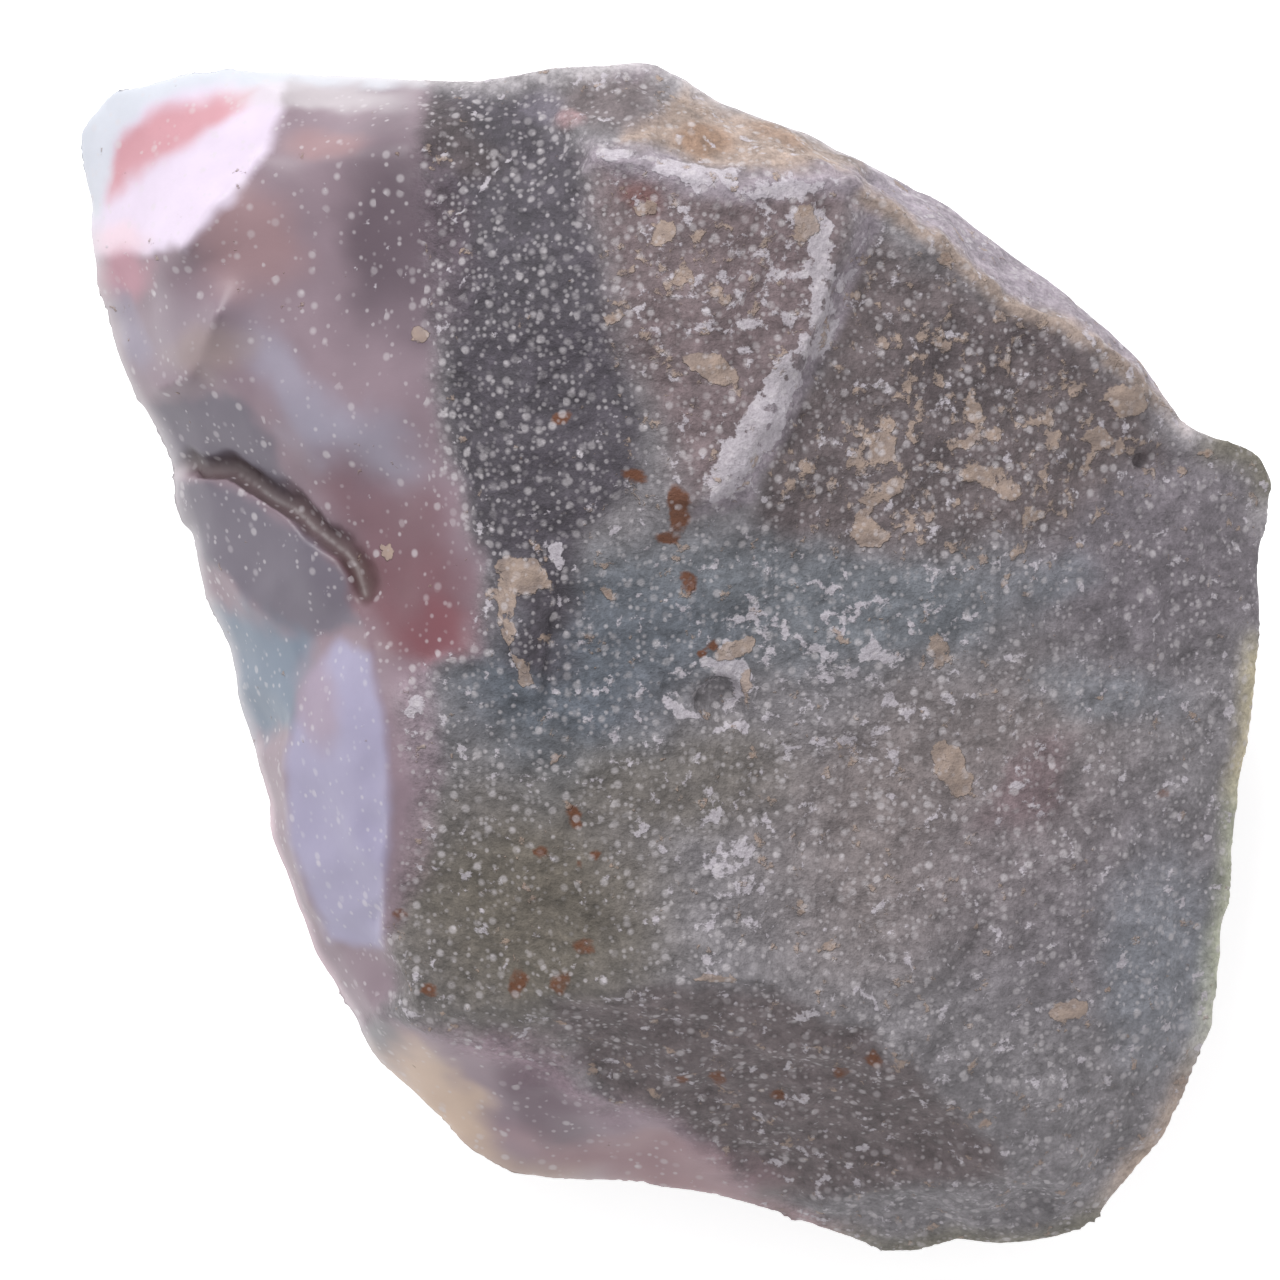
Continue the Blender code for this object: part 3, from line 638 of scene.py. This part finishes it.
# Painted glow: near the rim the paint is blended towards these tints, standing in for light coming
# through the thin edge.
rim_glow_paint = (0.6 * rim_glow)[:, None]
paint = paint * (1.0 - rim_glow_paint) + rim_glow_tint * rim_glow_paint

# %% [markdown]
# ## Fields for the grain
#
# The fine grain is drawn by the material, but how much of it there is differs from place to
# place. Each field below is a number from 0 to 1 at each vertex: how much tan crust, how many
# bleached lilac-white blotches, how many pale specks, how much rust. The material sets a field
# against fine noise, so a low value gives scattered crumbs, and a high one a whole patch with a
# crisp broken edge.

# %% Field helpers
def field(base, places, soft, ovals):
    """A field with a base value and ovals given as (value, x, y, half length, half width, turn)."""
    values = base.copy()
    for value, *oval in ovals:
        share = in_oval(*places, oval, soft)
        values = values * (1.0 - share) + value * share
    return values


nothing = np.zeros(len(points))

# %% Crust, bleached blotches, specks and rust
crust = field(granular * 0.18, WIDE, 0.9, (
    (0.34, 11.0, 7.5, 5.0, 3.6, -10.0), (0.30, 7.6, 11.0, 2.0, 2.6, 0.0),
    (0.05, -5.0, 12.0, 2.4, 7.0, 0.0), (0.30, 0.5, 13.0, 2.6, 3.0, 0.0),
    (0.32, 6.2, 6.2, 2.6, 2.4, 0.0), (0.10, 15.0, -4.0, 6.0, 8.0, 0.0),
    (0.10, -3.0, -6.0, 6.0, 6.0, 0.0),
))
crust = field(crust, NEAR, 0.5, (
    (0.9, 1.1, 9.8, 0.95, 0.4, -25.0), (0.9, -5.1, 3.1, 0.85, 0.5, -10.0),
    (0.75, -5.5, 1.6, 0.3, 1.4, 5.0), (0.7, -5.0, -0.2, 0.25, 0.7, 35.0),
    (0.8, 6.7, 7.2, 0.4, 0.6, 0.0), (0.75, 6.8, 5.8, 0.7, 0.35, 20.0),
    (0.8, 6.5, 4.3, 0.6, 0.4, 0.0), (0.7, 10.4, 6.1, 1.1, 0.5, -20.0),
    (0.85, 9.1, -3.4, 0.55, 0.9, 15.0), (0.8, 9.85, 8.2, 0.3, 0.25, 0.0),
    (0.8, 14.9, 8.8, 0.6, 0.5, 0.0), (0.75, 14.0, 7.5, 0.4, 0.3, 0.0),
    (0.7, 8.7, 0.6, 0.3, 0.6, 20.0), (0.7, -9.7, 3.8, 0.3, 0.25, 0.0),
    (0.75, 1.3, -10.3, 0.7, 0.2, 0.0), (0.8, 13.1, -11.5, 0.6, 0.35, 20.0),
    (0.8, -1.1, 15.0, 0.4, 0.3, 0.0), (0.75, -0.4, 14.2, 0.4, 0.4, 0.0),
    (0.7, 4.2, 14.6, 0.4, 0.6, 0.0), (0.8, -8.4, 10.95, 0.35, 0.3, 0.0),
    (0.75, 2.0, 0.6, 0.6, 0.4, 20.0), (0.7, 2.4, -0.8, 0.2, 0.8, 0.0),
))
bleached = field(granular * 0.20, WIDE, 0.9, (
    (0.06, -5.0, 12.0, 2.6, 7.0, 0.0), (0.36, 3.6, 13.0, 2.0, 3.2, 0.0),
    (0.30, 0.6, 13.5, 1.6, 2.4, 0.0), (0.34, 4.0, 0.0, 3.4, 2.6, 0.0),
    (0.34, 1.5, -7.0, 1.2, 3.4, 0.0), (0.30, 7.0, -1.6, 2.4, 1.6, 20.0),
    (0.12, -4.0, -8.0, 3.4, 3.4, 0.0),
))
bleached = field(bleached, NEAR, 0.6, (
    (0.8, 1.8, 6.5, 0.7, 1.2, -40.0), (0.8, 2.6, 7.7, 0.7, 0.8, -40.0),
    (0.75, 3.4, 9.2, 0.5, 0.9, -20.0), (0.7, 4.6, 11.2, 0.5, 1.3, -10.0),
    (0.7, 4.6, 13.8, 0.5, 1.4, 0.0), (0.85, 0.6, 16.2, 1.4, 0.25, -5.0),
    (0.75, -2.2, 16.7, 0.6, 0.3, 0.0), (0.7, 3.4, 15.7, 1.6, 0.35, 0.0),
    (0.85, 1.6, 0.0, 0.7, 0.35, -25.0), (0.8, 2.2, -0.4, 0.3, 0.6, 0.0),
    (0.8, 1.7, -2.1, 0.6, 0.15, 15.0), (0.75, -0.1, -1.35, 0.6, 0.15, -30.0),
    (0.7, 6.6, 0.5, 0.6, 0.4, 10.0), (0.7, 7.0, -1.2, 0.3, 0.3, 0.0),
    (0.75, -8.5, -1.2, 0.3, 0.5, -30.0), (0.75, -3.8, 3.6, 0.25, 0.45, 0.0),
))
bleached = np.maximum(bleached, 0.62 * on_line(*NEAR, (
    (-7.0, 14.9), (-6.6, 15.3), (-6.2, 15.9), (-5.7, 16.4), (-5.1, 16.7), (-4.2, 16.4)), 0.3, 1.0))
specks = field(granular * 0.45, WIDE, 1.0, (
    (0.70, -5.0, 11.0, 3.0, 7.0, 0.0), (0.85, -6.6, 6.2, 1.4, 2.4, 30.0),
    (0.60, 8.0, 8.0, 6.0, 4.0, 0.0), (0.35, 16.0, 3.0, 3.0, 5.0, 0.0),
    (0.40, -2.0, -8.0, 8.0, 4.0, 0.0), (0.50, 5.0, -4.0, 5.0, 4.0, 0.0),
))
specks = np.maximum(specks, waxy * 0.16)
rust = field(nothing, NEAR, 0.9, (
    (0.8, -3.7, 8.15, 0.3, 0.3, 0.0), (0.75, -1.3, 6.25, 0.5, 0.25, -20.0),
    (0.9, 0.1, 5.2, 0.35, 0.75, 0.0), (0.8, -0.3, 4.3, 0.4, 0.25, 0.0),
    (0.8, 0.35, 2.9, 0.3, 0.4, 0.0), (0.75, 1.2, 0.9, 0.2, 0.2, 0.0),
    (0.8, 0.9, 0.5, 0.15, 0.15, 0.0), (0.85, -3.4, -5.0, 0.22, 0.4, 0.0),
    (0.7, -4.5, -6.1, 0.25, 0.2, 0.0), (0.7, -3.2, -6.5, 0.2, 0.15, 0.0),
    (0.7, -2.6, -6.2, 0.2, 0.15, 0.0), (0.7, -9.15, -8.2, 0.3, 0.3, 0.0),
    (0.9, -8.1, -10.85, 0.3, 0.3, 0.0), (0.65, -3.0, -9.25, 0.4, 0.3, 0.0),
    (0.65, -5.2, -10.5, 0.3, 0.5, 0.0), (0.65, -3.7, -10.5, 0.4, 0.4, 0.0),
    (0.75, 0.3, -13.75, 0.3, 0.2, 0.0), (0.75, 1.4, -13.85, 0.3, 0.2, 0.0),
    (0.8, 6.6, -13.0, 0.4, 0.28, 0.0), (0.65, 5.5, -13.6, 0.3, 0.2, 0.0),
    (0.65, 3.5, -14.4, 0.3, 0.2, 0.0), (0.6, 16.2, -4.2, 0.3, 0.25, 0.0),
))

# %% [markdown]
# ## Attributes for the material
#
# The paint and the fields go to the material as attributes of the mesh.

# %% Store the attributes
def store(name, kind, values):
    """Store one value or colour per vertex on the mesh, under a name that the material reads."""
    layer = stone_mesh.attributes.new(name, kind, "POINT")
    layer.data.foreach_set("color" if kind == "FLOAT_COLOR" else "value",
                           values.astype(np.float32).ravel())


store("mineral_colour", "FLOAT_COLOR", np.hstack([paint, np.ones((len(paint), 1))]))
store("granular_share", "FLOAT", granular)
store("crust_share", "FLOAT", crust * facing_up + 0.15 * (1.0 - facing_up))
store("bleached_share", "FLOAT", bleached)
store("speck_share", "FLOAT", specks)
store("rust_share", "FLOAT", rust * facing_up)
# The share of painted rim glow is stored as well.
store("rim_glow_share", "FLOAT", rim_glow)
print("attributes:", [layer.name for layer in stone_mesh.attributes])

# %% [markdown]
# ## The material
#
# Bloodstone is chalcedony, so its index of refraction is 1.54. A fresh granular break is matt,
# about 0.7 rough, while the waxy breaks have the soft shine of candle wax, about 0.45. The grain
# is drawn by noise at real sizes: mottles of 2 mm, blotches of half a millimetre, pale grains of
# a quarter of a millimetre, and bright points of a tenth.

# %% Material helpers
CHALCEDONY_IOR = 1.54

bloodstone = bpy.data.materials.new("rough_chalcedony")
bloodstone.use_nodes = True
tree = bloodstone.node_tree
tree.nodes.clear()


def add(kind, inputs=None, **settings):
    """Add a node, give it settings, and fill its inputs with values or with other sockets."""
    new = tree.nodes.new(kind)
    for name, value in settings.items():
        setattr(new, name, value)
    for name, value in (inputs or {}).items():
        if isinstance(value, bpy.types.NodeSocket):
            tree.links.new(value, new.inputs[name])
        else:
            new.inputs[name].default_value = value
    return new


def per_mm(size):
    """Texture scale for a pattern with features of that many millimetres."""
    return 1.0 / (size * MM)


def colour(name):
    return (*linear(PALETTE[name]), 1.0)


def band(value, low, high, to_low=0.0, to_high=1.0):
    """Turn the part of a pattern between two values into a new range."""
    return add("ShaderNodeMapRange", {"Value": value, "From Min": low, "From Max": high,
                                      "To Min": to_low, "To Max": to_high}).outputs["Result"]


def times(first, second):
    return add("ShaderNodeMath", {0: first, 1: second}, operation="MULTIPLY").outputs[0]


def plus(first, second):
    return add("ShaderNodeMath", {0: first, 1: second}, operation="ADD").outputs[0]


def dimmed(shade, tone):
    """A colour made darker or lighter by a tone about 1."""
    return add("ShaderNodeVectorMath", {0: shade, "Scale": tone}, operation="SCALE").outputs[0]


def mixed(share, first, second):
    """From the first colour to the second as the share goes from 0 to 1."""
    return add("ShaderNodeMix", {0: share, 6: first, 7: second}, data_type="RGBA").outputs[2]


def attribute(name, output="Fac"):
    return add("ShaderNodeAttribute", attribute_name=name).outputs[output]


# %% Patterns of the grain
where = add("ShaderNodeTexCoord").outputs["Object"]
ground = attribute("mineral_colour", "Color")
grainy = attribute("granular_share")


def clouds(size, detail, roughness=0.6, offset=0.0):
    """Noise with features of that many millimetres, from about 0.2 to 0.8."""
    moved = add("ShaderNodeVectorMath", {0: where, 1: (offset * MM, 0.0, 0.0)}, operation="ADD")
    return add("ShaderNodeTexNoise", {"Vector": moved.outputs[0], "Scale": per_mm(size),
                                      "Detail": detail, "Roughness": roughness}).outputs["Fac"]


def patches(name, noise_value, reach, edge=0.06):
    """A field set against noise: crumbs where it is low, whole patches where it is high."""
    level = plus(attribute(name), band(noise_value, 0.0, 1.0, -reach, reach))
    return band(level, 0.5 - edge, 0.5 + edge)


def seeds(size, share, smallest, largest):
    """Round grains in cells of that many millimetres. A cell has one if its lot is in the share."""
    cells = add("ShaderNodeTexVoronoi", {"Vector": where, "Scale": per_mm(size)})
    lots = add("ShaderNodeSeparateColor", {0: cells.outputs["Color"]})
    drawn = add("ShaderNodeMath", {0: lots.outputs[0], 1: share}, operation="LESS_THAN").outputs[0]
    disc = band(cells.outputs["Distance"], largest, smallest)
    return times(times(drawn, disc), band(lots.outputs[1], 0.0, 1.0, 0.25, 1.0))


mottle = clouds(1.7, 3.0)
blotch = clouds(0.55, 3.0, 0.65, 5.0)
dust = clouds(0.16, 2.0, 0.7, 9.0)
crumbs = clouds(0.7, 4.0, 0.6, 13.0)
bleaching = clouds(0.6, 4.0, 0.6, 17.0)
speck_share = attribute("speck_share")
large_seeds = seeds(0.42, speck_share, 0.22, 0.42)
small_seeds = seeds(0.22, speck_share, 0.20, 0.45)

# %% Put the colour together
tone = times(band(mottle, 0.3, 0.7, 0.84, 1.16),
             times(band(blotch, 0.3, 0.7, 0.72, 1.28), band(dust, 0.3, 0.7, 0.82, 1.18)))
toned = dimmed(ground, plus(1.0, times(grainy, plus(tone, -1.0))))
cloudy = dimmed(toned, band(mottle, 0.3, 0.7, 0.96, 1.04))
bleach_mask = times(patches("bleached_share", bleaching, 1.1), 0.75)
bleached_stone = mixed(bleach_mask, cloudy, mixed(dust, colour("lilac grey"), colour("white")))
crust_mask = times(patches("crust_share", crumbs, 1.1), 0.8)
crusted = mixed(crust_mask, bleached_stone, mixed(blotch, colour("umber grey"), colour("cream")))
rust_mask = patches("rust_share", crumbs, 0.8, 0.2)
rusted = mixed(times(rust_mask, 0.9), crusted, colour("rust"))
seeded = mixed(times(large_seeds, 0.55), rusted, colour("bone"))
stone_colour = mixed(times(small_seeds, 0.5), seeded, colour("bone"))

# %% Finish: sheen, grain to the touch, shader
MATT = 0.74
WAXY = 0.46
grain_height = plus(times(plus(blotch, times(dust, 0.6)), band(grainy, 0.0, 1.0, 0.06, 1.0)),
                    plus(times(crust_mask, 0.6), times(bleach_mask, 0.3)))
bump = add("ShaderNodeBump", {"Strength": 1.0, "Distance": 0.09 * MM, "Height": grain_height})
shader = add("ShaderNodeBsdfPrincipled", {
    "Base Color": stone_colour,
    "Roughness": band(grainy, 0.0, 1.0, WAXY, MATT),
    "IOR": CHALCEDONY_IOR,
    "Normal": bump.outputs["Normal"],
})
add("ShaderNodeOutputMaterial", {"Surface": shader.outputs["BSDF"]})
stone_mesh.materials.append(bloodstone)
print("material nodes:", len(tree.nodes))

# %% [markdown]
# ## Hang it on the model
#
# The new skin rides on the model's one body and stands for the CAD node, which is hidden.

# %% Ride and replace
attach(stone, "root")
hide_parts("bloodstone")

# %% [markdown]
# ## Floor, light and camera
#
# The photo was taken on a bright white table in a light box: no shadow shows, and the thin edges
# glow. A large pale floor that gives off a little light of its own keeps the table white and free of
# shadow; the glow of the thin edges is painted into the stone's colour above. One big soft lamp
# stands behind the top left, and the white surroundings fill in the rest.

# %% Floor
floor_skin = bmesh.new()
bmesh.ops.create_grid(floor_skin, x_segments=1, y_segments=1, size=1.5)
floor_mesh = bpy.data.meshes.new("light_table")
floor_skin.to_mesh(floor_mesh)
floor_skin.free()
floor = bpy.data.objects.new("light_table", floor_mesh)
bpy.context.scene.collection.objects.link(floor)
table_white = bpy.data.materials.new("opal_white_acrylic")
table_white.use_nodes = True
table_shader = table_white.node_tree.nodes["Principled BSDF"]
table_shader.inputs["Base Color"].default_value = (0.9, 0.9, 0.9, 1.0)
table_shader.inputs["Roughness"].default_value = 0.6
table_shader.inputs["Emission Color"].default_value = (1.0, 1.0, 1.0, 1.0)
table_shader.inputs["Emission Strength"].default_value = 0.55
floor_mesh.materials.append(table_white)

# %% Light
scene = bpy.context.scene
surroundings = bpy.data.worlds.new("light_box")
surroundings.use_nodes = True
surroundings.node_tree.nodes["Background"].inputs["Color"].default_value = (1.0, 1.0, 1.0, 1.0)
surroundings.node_tree.nodes["Background"].inputs["Strength"].default_value = 0.62
scene.world = surroundings

key_data = bpy.data.lights.new("soft_key", "AREA")
key_data.shape = "DISK"
key_data.size = 0.35
key_data.energy = 2.6
key = bpy.data.objects.new("soft_key", key_data)
key.location = (-0.16, 0.34, 0.42)
key.rotation_euler = key.location.to_track_quat("Z", "Y").to_euler()
scene.collection.objects.link(key)

# %% Camera
camera_data = bpy.data.cameras.new("camera")
camera_data.lens = 300.0
camera_data.sensor_width = 36.0
camera_data.clip_start = 0.01
camera = bpy.data.objects.new("camera", camera_data)
camera.location = (-0.0012, 0.00085, 0.3717)
scene.collection.objects.link(camera)
scene.camera = camera
scene.view_settings.view_transform = "Standard"
